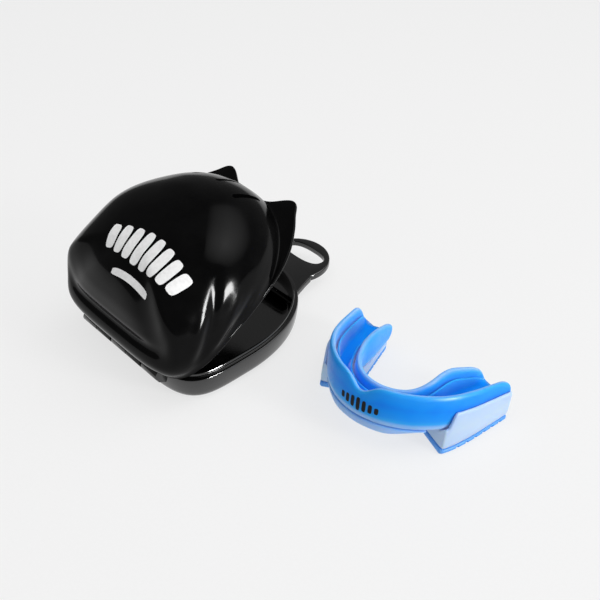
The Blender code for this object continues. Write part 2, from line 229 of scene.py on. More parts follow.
def spline(rows, place):
    """Catmull-Rom value at a place along the rows."""
    rows = np.asarray(rows, float)
    last = len(rows) - 1
    index = min(int(place), last - 1)
    t = place - index
    before, start, end, after = (rows[min(max(index + k, 0), last)] for k in (-1, 0, 1, 2))
    return 0.5 * (2 * start + (end - before) * t + (2 * before - 5 * start + 4 * end - after) * t * t
                  + (3 * start - before - 3 * end + after) * t ** 3)


def smoothstep(value, low, high):
    t = np.clip((value - low) / (high - low), 0, 1)
    return t * t * (3 - 2 * t)


# ---------------------------------------------------------------- case

class Plan:
    """Plan of the case as directions from its centre, evenly spaced along the outline."""

    def __init__(self, half_width, back_reach, front_reach):
        self.size = half_width, back_reach, front_reach
        dense = np.linspace(0, math.tau, 8 * PLAN_POINTS + 1)
        points = self.reach(dense)[:, None] * np.stack([np.cos(dense), np.sin(dense)], 1)
        length = np.concatenate([[0], np.cumsum(np.linalg.norm(np.diff(points, axis=0), axis=1))])
        even = np.arange(PLAN_POINTS) * length[-1] / PLAN_POINTS
        self.angle = np.interp(even, length, dense)
        self.direction = np.stack([np.cos(self.angle), np.sin(self.angle)], 1)

    def power(self, angle, soften):
        sharp = np.where(np.sin(angle) >= 0, FRONT_POWER, BACK_POWER)
        return sharp + (CROWN_POWER - sharp) * soften

    def weights(self, soften):
        """Shares of the front, back and side profiles, per direction."""
        across = self.reach(self.angle, 0, soften) * self.direction[:, 1]
        depth = np.where(across >= 0, self.size[2], self.size[1])
        rise = np.sign(across) * (np.abs(across) / depth) ** (self.power(self.angle, soften) / 2)
        front = smoothstep(rise, 0.15, 0.85)
        back = smoothstep(-rise, 0.35, 0.9)
        return front, back, 1 - front - back

    def reach(self, angle, inset=0.0, soften=0.0):
        half_width, back_reach, front_reach = (size - inset for size in self.size)
        power = self.power(angle, soften)
        depth = np.where(np.sin(angle) >= 0, front_reach, back_reach)
        across = (np.abs(np.cos(angle)) / half_width) ** power + (np.abs(np.sin(angle)) / depth) ** power
        return across ** (-1 / power)

    def ring(self, radius, z):
        """Points at the given radius (one or one per direction) and height from the centre."""
        points = np.empty((PLAN_POINTS, 3))
        points[:, :2] = self.direction * np.broadcast_to(radius, PLAN_POINTS)[:, None]
        points[:, 1] += PLAN_CENTER_Y
        points[:, 2] = z
        return points

    def inset_ring(self, inset, z):
        return self.ring(self.reach(self.angle, inset), z)


def lid_skin(plan, rim_z, place):
    """Radius and height of the lid's skin, per direction, at a place along the profiles."""
    rows = [spline(profile, place) for profile in (LID_FRONT, LID_BACK, LID_SIDE)]
    soften = float(smoothstep(place / (len(LID_SIDE) - 2), 0.6, 1))
    weights = plan.weights(soften)
    height = sum(weight * row[0] for weight, row in zip(weights, rows))
    share = sum(weight * row[1] for weight, row in zip(weights, rows))
    return plan.reach(plan.angle, 0, soften) * share, rim_z + height * MM


# Soft ridges and valleys pressed into the lid: path (x, y, z) in mm, half width and height in mm.
# Those of the right side are mirrored to the left.
CREASE = (((-31, -36, 25.5), (0, -37, 25), (31, -36, 25.5)), 2.2, -1.0)
SIDE_RELIEF = (
    (((36.6, -13, 30), (38.5, -24.3, 23.6), (37.5, -32.5, 16.8)), 2.2, 0.55),
    (((33.5, -1, 35), (37.6, -14, 25.5), (38.6, -28.5, 15.5)), 2.3, -1.1),
    (((38.5, 1, 25), (39.5, -10, 20.0), (39.6, -20, 16.4)), 2.1, 0.55),
    (((39.2, 5, 18.6), (39.8, -9.0, 15.6), (39.6, -21.3, 13.6)), 1.9, -0.8),
)


def pressed(points, normals):
    """Points moved along their normals by the lid's ridges and valleys."""
    mirrored = points * (-1, 1, 1)
    moved = relief(points, *CREASE)
    for path, width, height in SIDE_RELIEF:
        moved += relief(points, path, width, height) + relief(mirrored, path, width, height)
    return points + normals * moved[:, None]


def relief(points, path, width, height):
    """Height that one ridge or valley adds at each point, thinning out towards its ends."""
    path = np.array([spline(path, place) for place in np.linspace(0, len(path) - 1, RELIEF_SAMPLES)]) * MM
    apart = np.linalg.norm(points[:, None] - path[None], axis=2)
    nearest = apart.argmin(axis=1)
    fade = np.sin(np.pi * np.clip(nearest / (len(path) - 1), 0.02, 0.98)) ** 0.6
    return height * MM * fade * np.exp(-((apart.min(axis=1) / (width * MM)) ** 2))


def ring_normals(rings):
    """Outward normals of a stack of rings."""
    around = np.roll(rings, -1, 1) - np.roll(rings, 1, 1)
    up = np.gradient(rings, axis=0)
    normals = np.cross(around, up)
    return normals / np.maximum(np.linalg.norm(normals, axis=2, keepdims=True), 1e-12)


def brim_reach(plan):
    """Radius of the brim's edge, per direction."""
    right = np.array(BRIM_OUTLINE, float) * MM
    path = np.array([spline(right, place) for place in np.linspace(0, len(right) - 1, 240)])
    path[:, 1] -= PLAN_CENTER_Y
    angle = np.arctan2(path[:, 1], path[:, 0])
    order = np.argsort(angle)
    own = np.arctan2(plan.direction[:, 1], np.abs(plan.direction[:, 0]))
    return np.interp(own, angle[order], np.linalg.norm(path, axis=1)[order], left=0)


def brim_edge(plan, rim_z):
    """Radius of the brim's edge, blended into the skin where there is no brim."""
    skin_radius = lid_skin(plan, rim_z, 0.35)[0]
    edge = np.maximum(brim_reach(plan), skin_radius - BRIM_ROUNDING)
    return skin_radius + BRIM_BLEND * np.logaddexp(0, (edge - skin_radius) / BRIM_BLEND)


def rim_rings(plan, rim_z, edge):
    """Rings down the rim's inner step, along its underside and round the brim's edge."""
    rings = [plan.inset_ring(LID_STEP_INSET, rim_z + LID_STEP_HEIGHT),
             plan.inset_ring(LID_STEP_INSET, rim_z + 0.3 * MM),
             plan.inset_ring(LID_STEP_INSET - 0.1 * MM, rim_z + 0.08 * MM),
             plan.inset_ring(LID_STEP_INSET - 0.3 * MM, rim_z)]
    for turn in range(0, 181, 20):
        bulge = math.sin(math.radians(turn)) * BRIM_ROUNDING
        z = rim_z + BRIM_THICKNESS * (1 - math.cos(math.radians(turn))) / 2
        rings.append(plan.ring(edge - BRIM_ROUNDING + bulge, z))
    return rings


def foot_rings(plan, edge, foot, rise):
    """Rings of the fillet between the brim's top and the skin's foot: share of the brim, lift in mm."""
    rings = []
    for part, (share, lift) in enumerate(((0.35, 0.0), (0.12, 0.05), (0.03, 0.25), (0.0, 0.6))):
        spread = np.maximum(edge - BRIM_ROUNDING - foot, 0) * share
        swell = BRIM_BLEND * (3 - part) / 3 * (1 - share)
        rings.append(plan.ring(foot + spread + swell, rise + lift * MM))
    return rings


def lid_mesh(plan, rim_z):
    """Lid without slots and hinge: inner skin, rim, brim and pressed outer skin in one loft."""
    places = np.linspace(0, 10, 10 * SKIN_STEPS + 1)[:-1]
    outer = np.array([plan.ring(*lid_skin(plan, rim_z, place)) for place in places])
    normals = ring_normals(outer)
    pressed_skin = pressed(outer.reshape(-1, 3), normals.reshape(-1, 3)).reshape(outer.shape)
    inner = outer - normals * LID_WALL
    steady = inner[:, :, 2] > rim_z + LID_STEP_HEIGHT + 0.2 * MM
    first = int(np.argmax(steady.all(axis=1)))
    inside = [inner[level] for level in range(len(places) - 3, first - 1, -1)]

    rise = rim_z + BRIM_THICKNESS
    start = int(np.argmax(pressed_skin[:, :, 2].min(axis=1) > rise + 1.2 * MM))
    foot = np.linalg.norm(pressed_skin[start, :, :2] - (0, PLAN_CENTER_Y), axis=1)
    edge = brim_edge(plan, rim_z)
    rings = rim_rings(plan, rim_z, edge) + foot_rings(plan, edge, foot, rise)
    return loft("lid_shell_skin", inside + rings + list(pressed_skin[start:]))


def build_lid(plan, rim_z, hinge, matrix):
    """The lid, opened by the matrix, and a search tree of its skin while it is still closed."""
    lid = add_piece("lid_moulding", lid_mesh(plan, rim_z))
    tools = [(slot_cutter(index, rim_z), "DIFFERENCE") for index in (-1, 0, 1)]
    combine(lid, tools + hinge_tools(hinge, 1))
    smooth_shading(lid.data)
    closed_skin = BVHTree.FromPolygons([v.co for v in lid.data.vertices],
                                       [face.vertices for face in lid.data.polygons])
    lid.data.transform(matrix)
    return lid, closed_skin


def slot_cutter(index, rim_z):
    """Vent slot with rounded ends, square to the lid's steep front."""
    outline = []
    for step in range(18):
        turn = math.tau * (step + 0.5) / 18
        stretch = math.copysign((SLOT_LENGTH - SLOT_WIDTH) / 2, math.sin(turn))
        outline.append((SLOT_WIDTH / 2 * math.cos(turn), SLOT_WIDTH / 2 * math.sin(turn) + stretch))
    middle = Vector((index * SLOT_PITCH, SLOT_Y - SLOT_SETBACK * abs(index), rim_z + SLOT_HEIGHT))
    place = Matrix.Translation(middle) @ Matrix.Rotation(SLOT_TILT, 4, "X")
    return plate(f"vent_slot_{index + 1}", [outline], -6 * MM, 7 * MM, 0.1 * MM, place)


def hinge_tools(hinge, owner):
    """Barrels and webs of one shell, clearances for the other's, and the pin's bore."""
    length = HINGE_SPAN / BARREL_COUNT
    place = Matrix.Translation(hinge)
    side = -1 if owner == 0 else 1
    radius = BARREL_RADIUS
    web = [(-0.9 * radius, side * 0.4 * radius), (-0.3 * radius, side * 1.4 * radius),
           (WEB_REACH, side * 2.3 * radius), (WEB_REACH, side * BARREL_GAP), (0, 0)]
    tools = []
    for index in range(BARREL_COUNT):
        start = -HINGE_SPAN / 2 + index * length + BARREL_GAP
        end = start + length - 2 * BARREL_GAP
        if index % 2 == owner:
            mesh = rounded_rod(f"barrel_{index}", radius, start, end)
            arm = loft(f"web_{index}", [[(x, y, z) for y, z in web] for x in (start, end)])
            for tool in (mesh, arm):
                tool.transform(place)
                tools.append((tool, "UNION"))
        else:
            room = rounded_rod(f"relief_{index}", radius + BARREL_CLEARANCE, start - 2 * BARREL_GAP,
                               end + 2 * BARREL_GAP)
            room.transform(place)
            tools.append((room, "DIFFERENCE"))
    bore = rounded_rod(f"bore_{owner}", PIN_BORE, -PIN_BORE_HALF_LENGTH, PIN_BORE_HALF_LENGTH)
    bore.transform(place)
    return tools + [(bore, "DIFFERENCE")]


def refine(profile, steps=4):
    places = np.linspace(0, len(profile) - 1, steps * (len(profile) - 1) + 1)
    return [tuple(spline(profile, place)) for place in places]


def build_base(plan, hinge):
    profile = refine(BASE_OUTSIDE) + list(BASE_RIM) + refine(BASE_INSIDE)
    rings = [plan.inset_ring(inset * MM, z * MM) for inset, z in profile]
    base = add_piece("base_moulding", loft("base_moulding", rings))
    tools = [(loop_plate(), "UNION")] + hinge_tools(hinge, 0)
    combine(base, tools)
    smooth_shading(base.data)
    return base


def loop_plate():
    """Flat eyelet with filleted shoulders and an oval hole."""
    right = [(21.5, 29), (20.2, 32.2), (18.6, 36.2), (17.4, 39.6), (16.4, 42.6), (15.6, 45.4)]
    outer = [(x * MM, y * MM) for x, y in refine(right, 5)]
    for step in range(1, 60):
        angle = math.radians(-19 + 218 * step / 60)
        outer.append((LOOP_RADIUS * math.cos(angle), LOOP_Y + LOOP_RADIUS * math.sin(angle)))
    outer += [(-x * MM, y * MM) for x, y in reversed(refine(right, 5))]
    hole = []
    for step in range(64):
        angle = math.tau * step / 64
        c, s = math.cos(angle), math.sin(angle)
        hole.append((LOOP_HOLE[0] / 2 * math.copysign(abs(c) ** 0.8, c),
                     LOOP_HOLE_Y + LOOP_HOLE[1] / 2 * math.copysign(abs(s) ** 0.8, s)))
    return plate("loop_plate", [outer, hole], LOOP_Z - LOOP_THICKNESS / 2, LOOP_Z + LOOP_THICKNESS / 2,
                 0.55 * MM)


# ---------------------------------------------------------------- guard

def arch(share):
    """Point and outward normal of the arch's centre line; share runs -1 to 1, rear to rear."""
    bend_length = ARCH_BEND * (ARCH_HALF_WIDTH + ARCH_FRONT_DEPTH) / 2
    along = abs(share) * (bend_length + LEG_LENGTH)
    angle = min(along / bend_length, 1) * ARCH_BEND
    x, y = ARCH_HALF_WIDTH * math.sin(angle), -ARCH_FRONT_DEPTH * math.cos(angle)
    tangent = Vector((ARCH_HALF_WIDTH * math.cos(angle), ARCH_FRONT_DEPTH * math.sin(angle))).normalized()
    rest = max(along - bend_length, 0)
    x, y = x + tangent.x * rest, y + tangent.y * rest
    normal = Vector((tangent.y, -tangent.x))
    if share < 0:
        x, normal.x = -x, -normal.x
    return Vector((x, y)), normal


def rear_fall(share, start, drop):
    """How far a wall's top has come down in a quarter round towards the rear end, in mm."""
    t = min(max((abs(share) - start) / (1 - start), 0), 1)
    return drop * (1 - math.sqrt(1 - t * t))


def buccal_height(share):
    notch = 4.5 * math.exp(-((share / 0.07) ** 2))
    return (19.5 - 3.0 * abs(share) ** 1.5 - notch - rear_fall(share, 0.86, 6.5)) * MM


def lingual_height(share):
    lobe = 5.0 * math.exp(-(((abs(share) - 0.62) / 0.24) ** 2))
    return (13.5 + lobe - rear_fall(share, 0.84, 5.0)) * MM


def half_width(share):
    return (5.4 + 2.0 * float(smoothstep(abs(share), 0.25, 0.7))) * MM


def sole_bottom(y):
    """Floor plane in the guard's own frame."""
    return y * math.tan(GUARD_PITCH) + SOLE_FLOOR


def side_depth(share, out):
    center, normal = arch(share)
    return center.y + normal.y * out


def shell_section(share):
    """Channel section (outward, height, tone): outer wall, bite plate and inner wall."""
    half = half_width(share)
    wall = SHELL_WALL
    top_out, top_in = buccal_height(share), lingual_height(share)
    floor = SHELL_BOTTOM + PLATE_THICKNESS
    low = SHELL_BOTTOM
    return (
        (half - 1.6 * MM, low, 0.75), (half - 0.3 * MM, low + 0.3 * MM, 0.8),
        (half + 0.05 * MM, low + 1.6 * MM, 0.72), (half + 0.35 * MM, low + 4.2 * MM, 0.2),
        (half + 0.6 * MM, (low + top_out) / 2 + 1.5 * MM, 0.08),
        (half + 0.6 * MM, top_out - 1.2 * MM, 0.22), (half + 0.1 * MM, top_out, 0.5),
        (half - wall + 0.7 * MM, top_out, 0.75), (half - wall, top_out - 1.4 * MM, 0.35),
        (half - wall - 0.2 * MM, floor + 2.4 * MM, 0.0), (half - wall - 0.7 * MM, floor, 0.0),
        (0, floor - 0.1 * MM, 0.0), (-half + wall + 0.7 * MM, floor, 0.0),
        (-half + wall + 0.1 * MM, floor + 2.4 * MM, 0.1), (-half + wall, top_in - 1.4 * MM, 0.35),
        (-half + wall - 0.7 * MM, top_in, 0.75), (-half - 0.1 * MM, top_in, 0.6),
        (-half - 0.5 * MM, top_in - 1.4 * MM, 0.4), (-half - 0.4 * MM, low + 4 * MM, 0.25),
        (-half, low + 1.4 * MM, 0.5), (-half + 0.9 * MM, low + 0.05 * MM, 0.7), (0, low, 0.7),
    )


def liner_section(share):
    """Thin trough (outward, height, tone) lying in the shell's channel."""
    half = half_width(share) - SHELL_WALL - 2 * SEAT_GAP
    skin = LINER_SKIN
    low = SHELL_BOTTOM + PLATE_THICKNESS + SEAT_GAP
    top_out, top_in = buccal_height(share) - LINER_DROP, lingual_height(share) - LINER_DROP
    return (
        (half - 0.4 * MM, low, 0.1), (half - 0.1 * MM, low + 2 * MM, 0.1), (half - 0.1 * MM, top_out, 0.35),
        (half - skin, top_out, 0.35), (half - skin - 0.1 * MM, low + 2.6 * MM, 0.1),
        (half - skin - 0.8 * MM, low + skin, 0.0), (0, low + skin - 0.1 * MM, 0.0),
        (-half + skin + 0.8 * MM, low + skin, 0.0), (-half + skin + 0.1 * MM, low + 2.6 * MM, 0.1),
        (-half + skin, top_in, 0.35), (-half + 0.1 * MM, top_in, 0.35), (-half + 0.1 * MM, low + 2 * MM, 0.1),
        (-half + 0.4 * MM, low, 0.1), (0, low, 0.0),
    )


def pad_section(share):
    """Wedge (outward, height, tone) under the shell that wraps up its outer wall behind its front end."""
    half = half_width(share)
    wrap = half + PAD_WRAP_GAP
    outer = wrap + PAD_WRAP_THICKNESS
    under = SHELL_BOTTOM - SEAT_GAP
    high = under + (1.5 + 6.8 * float(smoothstep(abs(share), 0.475, 0.505))) * MM
    rise = SOLE_THICKNESS + 0.1 * MM
    low_out = sole_bottom(side_depth(share, outer)) + rise
    low_in = sole_bottom(side_depth(share, -half)) + rise
    middle = (high + low_out) / 2
    return (
        (wrap, high - 0.2 * MM, 0.7), (wrap + 0.25 * MM, high, 0.7), (outer - 0.35 * MM, high, 0.75),
        (outer, high - 0.35 * MM, 0.8), (outer + 0.1 * MM, middle, 0.95), (outer, low_out + 0.25 * MM, 0.85),
        (outer - 0.2 * MM, low_out, 0.8), (0, (low_out + low_in) / 2, 0.8), (-half + 0.6 * MM, low_in, 0.8),
        (-half + 0.5 * MM, low_in + 0.3 * MM, 0.8), (-half + 0.7 * MM, under - 0.2 * MM, 0.8),
        (-half + 1.0 * MM, under, 0.8), (wrap - 0.2 * MM, under, 0.8), (wrap, under + 0.2 * MM, 0.8),
    )


def bumper_section(share):
    """Shallow pad (outward, height, tone) under the front of the arch, thinning out sideways."""
    half = half_width(share) - 0.4 * MM
    top = SHELL_BOTTOM - 0.05 * MM
    drop = (1.2 + 2.8 * (1 - float(smoothstep(abs(share), 0.14, 0.36)))) * MM
    # Outward face gets high tones, so a pale lavender: partly the pad's own tint, partly painted light
    # lifting the shade on this downward-facing face.
    return (
        (half + 0.2 * MM, top - 0.2 * MM, 0.7), (half - 0.2 * MM, top, 0.5), (-half + 0.2 * MM, top, 0.3),
        (-half, top - 0.3 * MM, 0.3), (-half + 0.4 * MM, top - drop * 0.7, 0.7),
        (-half + 1.6 * MM, top - drop, 0.8), (0, top - drop, 0.8), (half - 1.2 * MM, top - drop, 0.85),
        (half - 0.1 * MM, top - drop * 0.75, 0.8), (half + 0.2 * MM, top - drop * 0.4, 0.85),
    )


def sole_section(share):
    """Thin tread (outward, height, tone) between the wedge and the floor."""
    half = half_width(share)
    outer = half + PAD_WRAP_GAP + PAD_WRAP_THICKNESS
    inner = -half + 0.6 * MM
    low_out, low_in = (sole_bottom(side_depth(share, out)) for out in (outer, inner))
    top = SOLE_THICKNESS - 0.05 * MM
    return (
        (outer, low_out + top - 0.3 * MM, 0.5), (outer - 0.3 * MM, low_out + top, 0.5),
        (inner + 0.3 * MM, low_in + top, 0.5), (inner, low_in + top - 0.3 * MM, 0.5),
        (inner, low_in + 0.4 * MM, 0.5), (inner + 0.5 * MM, low_in, 0.5),
        (0, (low_in + low_out) / 2, 0.5), (outer - 0.5 * MM, low_out, 0.5), (outer, low_out + 0.4 * MM, 0.5),
    )


def end_stations(start, end, count, rounding):
    """Shares along a sweep, with extra rings at both ends, each with how far its end has closed in."""
    turns = [math.radians(turn) for turn in END_TURNS]
    first = [(start + rounding * (1 - math.cos(t)), 1 - math.sin(t)) for t in turns]
    middle = [(share, 0) for share in np.linspace(start + rounding, end - rounding, count)]
    last = [(end - rounding * (1 - math.cos(t)), 1 - math.sin(t)) for t in reversed(turns)]
    return first + middle + last


def sweep(name, section, start, end, count, rounding, squeeze):
    """Closed tube along the arch with rounded ends; squeeze is the closing in metres at the very end."""
    rings, tones = [], []
    for share, closing in end_stations(start, end, count, rounding):
        center, normal = arch(share)
        rows = np.array(section(share))
        middle = rows[:, :2].mean(axis=0)
        offset = rows[:, :2] - middle
        reach = np.maximum(np.abs(offset), 1e-9)
        shrink = np.maximum(1 - closing * np.array(squeeze) / reach, 0.15)
        flat = middle + offset * shrink
        rings.append([(center.x + normal.x * out, center.y + normal.y * out, z) for out, z in flat])
        tones.append(rows[:, 2] + 0.35 * closing)
    return loft(name, rings, np.clip(tones, 0, 1))


def guard_matrix():
    """From the guard's own frame to where it stands beside the case."""
    turn = Matrix.Rotation(GUARD_YAW, 4, "Z") @ Matrix.Rotation(-GUARD_PITCH, 4, "X")
    lift = -SOLE_FLOOR * math.cos(GUARD_PITCH)
    return Matrix.Translation((*GUARD_PLACE, lift)) @ turn


def groove_cutter(side, index):
    """Crosswise bar that cuts one tread groove."""
    share = side * (GROOVE_FIRST + GROOVE_SPREAD * index / (GROOVE_COUNT - 1))
    center, normal = arch(share)
    x, y = GROOVE_HALF_LENGTH, GROOVE_HALF_WIDTH
    outline = [(-x, -y), (x, -y), (x, y), (-x, y)]
    turn = Matrix.Rotation(math.atan2(normal.y, normal.x), 4, "Z")
    tilt = Matrix.Rotation(GUARD_PITCH, 4, "X")
    place = Matrix.Translation((center.x, center.y, sole_bottom(center.y)))
    return plate(f"groove_{index}", [outline], -4 * MM, GROOVE_DEPTH, 0.1 * MM, place @ tilt @ turn)


# ---------------------------------------------------------------- printed marks

# Arch of rounded teeth over a gum bar on the lid, as a plain pictogram, in mm.
LID_MARK_MIDDLE = (9, -10)
LID_MARK_RADIUS = 75
TOOTH_HEIGHTS = (9.4, 11.2, 12.6, 13.6, 13.6, 12.6, 11.2, 9.4)
TOOTH_PITCH = 5.4
TOOTH_GAP = 1.1
GUM_BAR = (20, 2.6)
GUM_BAR_DROP = 11.4
GUM_BAR_BEND = 80
# Fit gauge on the guard, in mm: bars of these heights round a middle height.
GAUGE_HEIGHTS = (2.6, 3.6, 4.6, 5.6, 4.6, 3.6, 2.6)
GAUGE_PITCH, GAUGE_BAR_WIDTH = 2.0, 1.25
GAUGE_MIDDLE = 9.6
PRINT_FILM = 0.1 * MM
PRINT_SINK = 0.02 * MM


def blob_rings(width, height, steps=36, squareness=4.0):
    """Rounded rectangle as rings from its edge to its middle."""
    angles = np.arange(steps) * math.tau / steps
    c, s = np.cos(angles), np.sin(angles)
    radius = (np.abs(c) ** squareness + np.abs(s) ** squareness) ** (-1 / squareness)
    edge = np.stack([c * radius * width / 2, s * radius * height / 2], 1)
    return [edge * share for share in (1.0, 0.9, 0.75, 0.6, 0.45, 0.3, 0.15, 0.03)]


def print_mesh(name, shapes, place):
    """Thin closed film over a surface; place(u, v) gives a point and its normal."""
    points, faces = [], []
    for rings in shapes:
        count = len(rings[0])
        stack = [[place(u, v) for u, v in ring] for ring in rings]
        levels = [[p + n * PRINT_FILM for p, n in ring] for ring in stack[::-1]]
        levels += [[p - n * PRINT_FILM for p, n in ring] for ring in stack]
        first = len(points)
        points += [point for level in levels for point in level]
        for level in range(len(levels) - 1):
            low = first + level * count
            for index in range(count):
                after = (index + 1) % count
                faces.append((low + index, low + after, low + count + after, low + count + index))
        faces.append(tuple(range(first, first + count))[::-1])
        faces.append(tuple(range(len(points) - count, len(points))))
    mesh = bpy.data.meshes.new(name)
    mesh.from_pydata([tuple(point) for point in points], [], faces)
    outward(mesh)
    return mesh


def lid_mark(closed_skin, matrix):
    """Arch of teeth with a gum bar, printed on the lid's plateau."""
    shapes = []
    for index, height in enumerate(TOOTH_HEIGHTS):
        turn = (index - (len(TOOTH_HEIGHTS) - 1) / 2) * TOOTH_PITCH / LID_MARK_RADIUS
        spin = np.array([[math.cos(turn), -math.sin(turn)], [math.sin(turn), math.cos(turn)]])
        middle = np.array([math.sin(turn), math.cos(turn) - 1]) * LID_MARK_RADIUS
        shapes.append([ring @ spin + middle for ring in blob_rings(TOOTH_PITCH - TOOTH_GAP, height)])
    bar = [ring - (0, GUM_BAR_DROP) for ring in blob_rings(*GUM_BAR, 48, 6.0)]
    shapes.append([np.stack([ring[:, 0], ring[:, 1] - ring[:, 0] ** 2 / GUM_BAR_BEND], 1) for ring in bar])

    def place(u, v):
        start = Vector(((u + LID_MARK_MIDDLE[0]) * MM, (v + LID_MARK_MIDDLE[1]) * MM, 80 * MM))
        point, normal, _, _ = closed_skin.ray_cast(start, Vector((0, 0, -1)))
        return point, normal

    mesh = print_mesh("lid_print", shapes, place)
    mesh.transform(matrix)
    return mesh


def guard_mark():
    """Small fit gauge of upright bars below the notch of the outer wall."""
    shapes = []
    for index, height in enumerate(GAUGE_HEIGHTS):
        middle = ((index - len(GAUGE_HEIGHTS) // 2) * GAUGE_PITCH, GAUGE_MIDDLE)
        shapes.append([ring + middle for ring in blob_rings(GAUGE_BAR_WIDTH, height, 24)])
    full = ARCH_BEND * (ARCH_HALF_WIDTH + ARCH_FRONT_DEPTH) / 2 + LEG_LENGTH

    def place(along, height):
        share = along * MM / full
        center, normal = arch(share)
        rows = sorted((row[1], row[0]) for row in shell_section(share)[2:6])
        out = np.interp(height * MM, [row[0] for row in rows], [row[1] for row in rows]) - PRINT_SINK
        return (Vector((center.x + normal.x * out, center.y + normal.y * out, height * MM)),
                Vector((normal.x, normal.y, 0)))

    mesh = print_mesh("guard_print", shapes, place)
    mesh.transform(guard_matrix())
    return mesh


# ---------------------------------------------------------------- materials

def new_material(name):
    material = bpy.data.materials.new(name)
    material.use_nodes = True
    return material, material.node_tree.nodes, material.node_tree.links


def noise(nodes, links, coordinates, scale, detail=2.0):
    made = nodes.new("ShaderNodeTexNoise")
    made.inputs["Scale"].default_value = scale
    made.inputs["Detail"].default_value = detail
    links.new(coordinates, made.inputs["Vector"])
    return made.outputs["Fac"]


def mapped(nodes, links, value, low, high, to_low, to_high):
    made = nodes.new("ShaderNodeMapRange")
    for socket, number in zip(("From Min", "From Max", "To Min", "To Max"), (low, high, to_low, to_high)):
        made.inputs[socket].default_value = number
    links.new(value, made.inputs["Value"])
    return made.outputs["Result"]


def ramp(nodes, links, value, stops):
    made = nodes.new("ShaderNodeValToRGB")
    elements = made.color_ramp.elements
    while len(elements) < len(stops):
        elements.new(0.5)
    for element, (place, color) in zip(elements, stops):
        element.position = place
        element.color = (*color, 1)
    links.new(value, made.inputs["Fac"])
    return made.outputs["Color"]


def bump(nodes, links, height, strength, distance, normal=None):
    made = nodes.new("ShaderNodeBump")
    made.inputs["Strength"].default_value = strength
    made.inputs["Distance"].default_value = distance
    links.new(height, made.inputs["Height"])
    if normal is not None:
        links.new(normal, made.inputs["Normal"])
    return made.outputs["Normal"]


def linear(red, green, blue):
    """Linear colour of an 8-bit sRGB value."""
    shares = [value / 255 for value in (red, green, blue)]
    return tuple(((c + 0.055) / 1.055) ** 2.4 if c > 0.04 else c / 12.92 for c in shares)


def gloss_black(name, shine):
    """Polished black moulding: faint flow waves, fine rub marks that haze the gloss, and dust specks."""
    material, nodes, links = new_material(name)
    shader = nodes["Principled BSDF"]
    where = nodes.new("ShaderNodeTexCoord").outputs["Object"]
    wave = noise(nodes, links, where, 60, 1.5)
    grain = noise(nodes, links, where, 1800, 3)
    haze = noise(nodes, links, where, 140, 4)
    color = ramp(nodes, links, haze, ((0.3, (0.0012, 0.0012, 0.0013)), (0.75, (0.0025, 0.0025, 0.0026))))
    links.new(color, shader.inputs["Base Color"])
    links.new(mapped(nodes, links, haze, 0.3, 0.75, 0.1, 0.18), shader.inputs["Roughness"])
    normal = bump(nodes, links, wave, 0.12, 0.0006)
    links.new(bump(nodes, links, grain, 0.04, 0.00004, normal), shader.inputs["Normal"])
    shader.inputs["Specular IOR Level"].default_value = shine
    shader.inputs["Coat Weight"].default_value = 0.03
    shader.inputs["Coat Roughness"].default_value = 0.04
    return material


def guard_plastic(name, stops, roughness=0.34, subsurface=0.25):
    """Translucent thermoplastic: tone attribute picks the depth of colour, with a soft clouding."""
    material, nodes, links = new_material(name)
    shader = nodes["Principled BSDF"]
    where = nodes.new("ShaderNodeTexCoord").outputs["Object"]
    tone = nodes.new("ShaderNodeAttribute")
    tone.attribute_name = "tone"
    cloud = noise(nodes, links, where, 120, 3)
    drift = mapped(nodes, links, cloud, 0.3, 0.7, -0.03, 0.03)
    added = nodes.new("ShaderNodeMath")
    links.new(tone.outputs["Fac"], added.inputs[0])
    links.new(drift, added.inputs[1])
    color = ramp(nodes, links, added.outputs[0], stops)
    links.new(color, shader.inputs["Base Color"])
    grain = noise(nodes, links, where, 900, 3)
    links.new(mapped(nodes, links, grain, 0.3, 0.7, roughness - 0.06, roughness + 0.08),
              shader.inputs["Roughness"])
    links.new(bump(nodes, links, grain, 0.1, 0.00008), shader.inputs["Normal"])
    shader.inputs["Specular IOR Level"].default_value = 0.12
    shader.inputs["Subsurface Weight"].default_value = subsurface
    shader.inputs["Subsurface Radius"].default_value = (0.4, 0.8, 1.6)
    shader.inputs["Subsurface Scale"].default_value = 0.0015
    return material


def pin_steel():
    """Drawn steel wire: fine rings round the pin and a slight stain."""
    material, nodes, links = new_material("drawn_steel")
    shader = nodes["Principled BSDF"]
    where = nodes.new("ShaderNodeTexCoord").outputs["Object"]
    stretch = nodes.new("ShaderNodeMapping")
    stretch.inputs["Scale"].default_value = (4000, 60, 60)
    links.new(where, stretch.inputs["Vector"])
    lines = noise(nodes, links, stretch.outputs["Vector"], 1, 3)
    stain = noise(nodes, links, where, 300, 3)
    links.new(ramp(nodes, links, stain, ((0.3, (0.35, 0.35, 0.36)), (0.7, (0.55, 0.55, 0.57)))),
              shader.inputs["Base Color"])
    links.new(mapped(nodes, links, lines, 0.3, 0.7, 0.22, 0.42), shader.inputs["Roughness"])
    links.new(bump(nodes, links, lines, 0.3, 0.00003), shader.inputs["Normal"])
    shader.inputs["Metallic"].default_value = 1.0
    return material


def ink(name, color, roughness):
    """Printed ink: slightly uneven cover and an eggshell surface."""
    material, nodes, links = new_material(name)
    shader = nodes["Principled BSDF"]
    where = nodes.new("ShaderNodeTexCoord").outputs["Object"]
    cover = noise(nodes, links, where, 700, 4)
    darker = tuple(c * 0.9 for c in color)
    links.new(ramp(nodes, links, cover, ((0.3, darker), (0.6, color))), shader.inputs["Base Color"])
    links.new(mapped(nodes, links, cover, 0.3, 0.7, roughness - 0.05, roughness + 0.1),
              shader.inputs["Roughness"])
    links.new(bump(nodes, links, cover, 0.08, 0.00005), shader.inputs["Normal"])
    shader.inputs["Specular IOR Level"].default_value = 0.2
    return material


